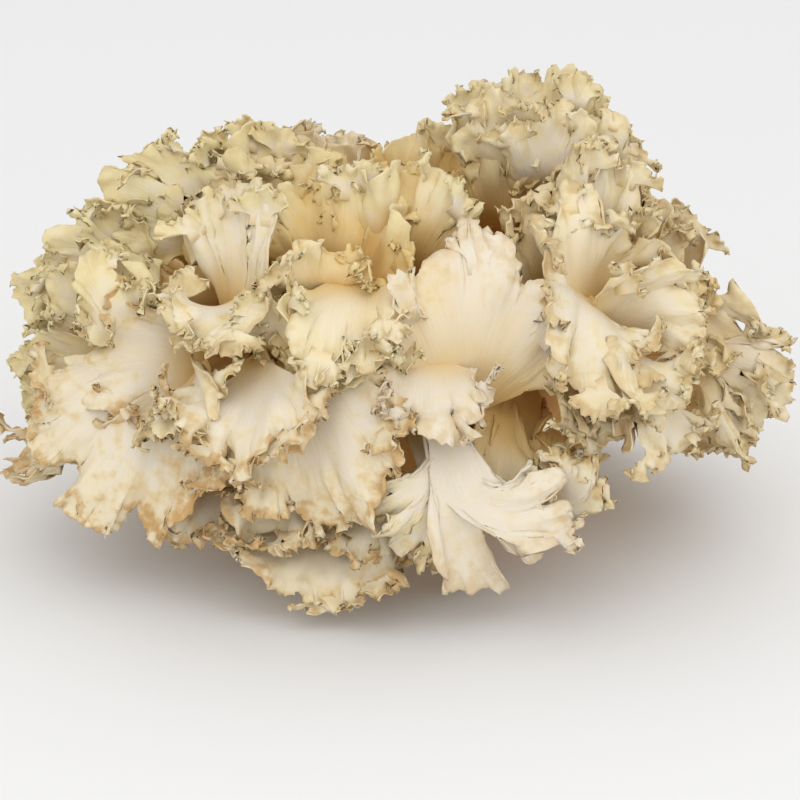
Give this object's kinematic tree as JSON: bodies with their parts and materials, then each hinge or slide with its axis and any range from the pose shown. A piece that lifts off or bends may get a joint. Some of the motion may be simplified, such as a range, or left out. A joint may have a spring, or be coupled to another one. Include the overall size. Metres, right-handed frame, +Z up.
{
  "type": "dried cauliflower mushroom",
  "caption": "Dried cauliflower mushroom head: a dense mound of thin cream fronds with waved, crisped edges on a short cut stem.",
  "frame": {"origin": "middle of the flat cut at the foot of the stem", "axes": "+Z up from the cut, +X to the right along the head's length, -Y towards the side that the picture shows"},
  "size_m": [0.2193, 0.1684, 0.1323],
  "materials": {
    "flesh": "matt, dry and slightly fibrous, cream with yellow and ochre margins"
  },
  "bodies": {
    "root": {"mushroom_head": "flesh"}
  },
  "joints": []
}
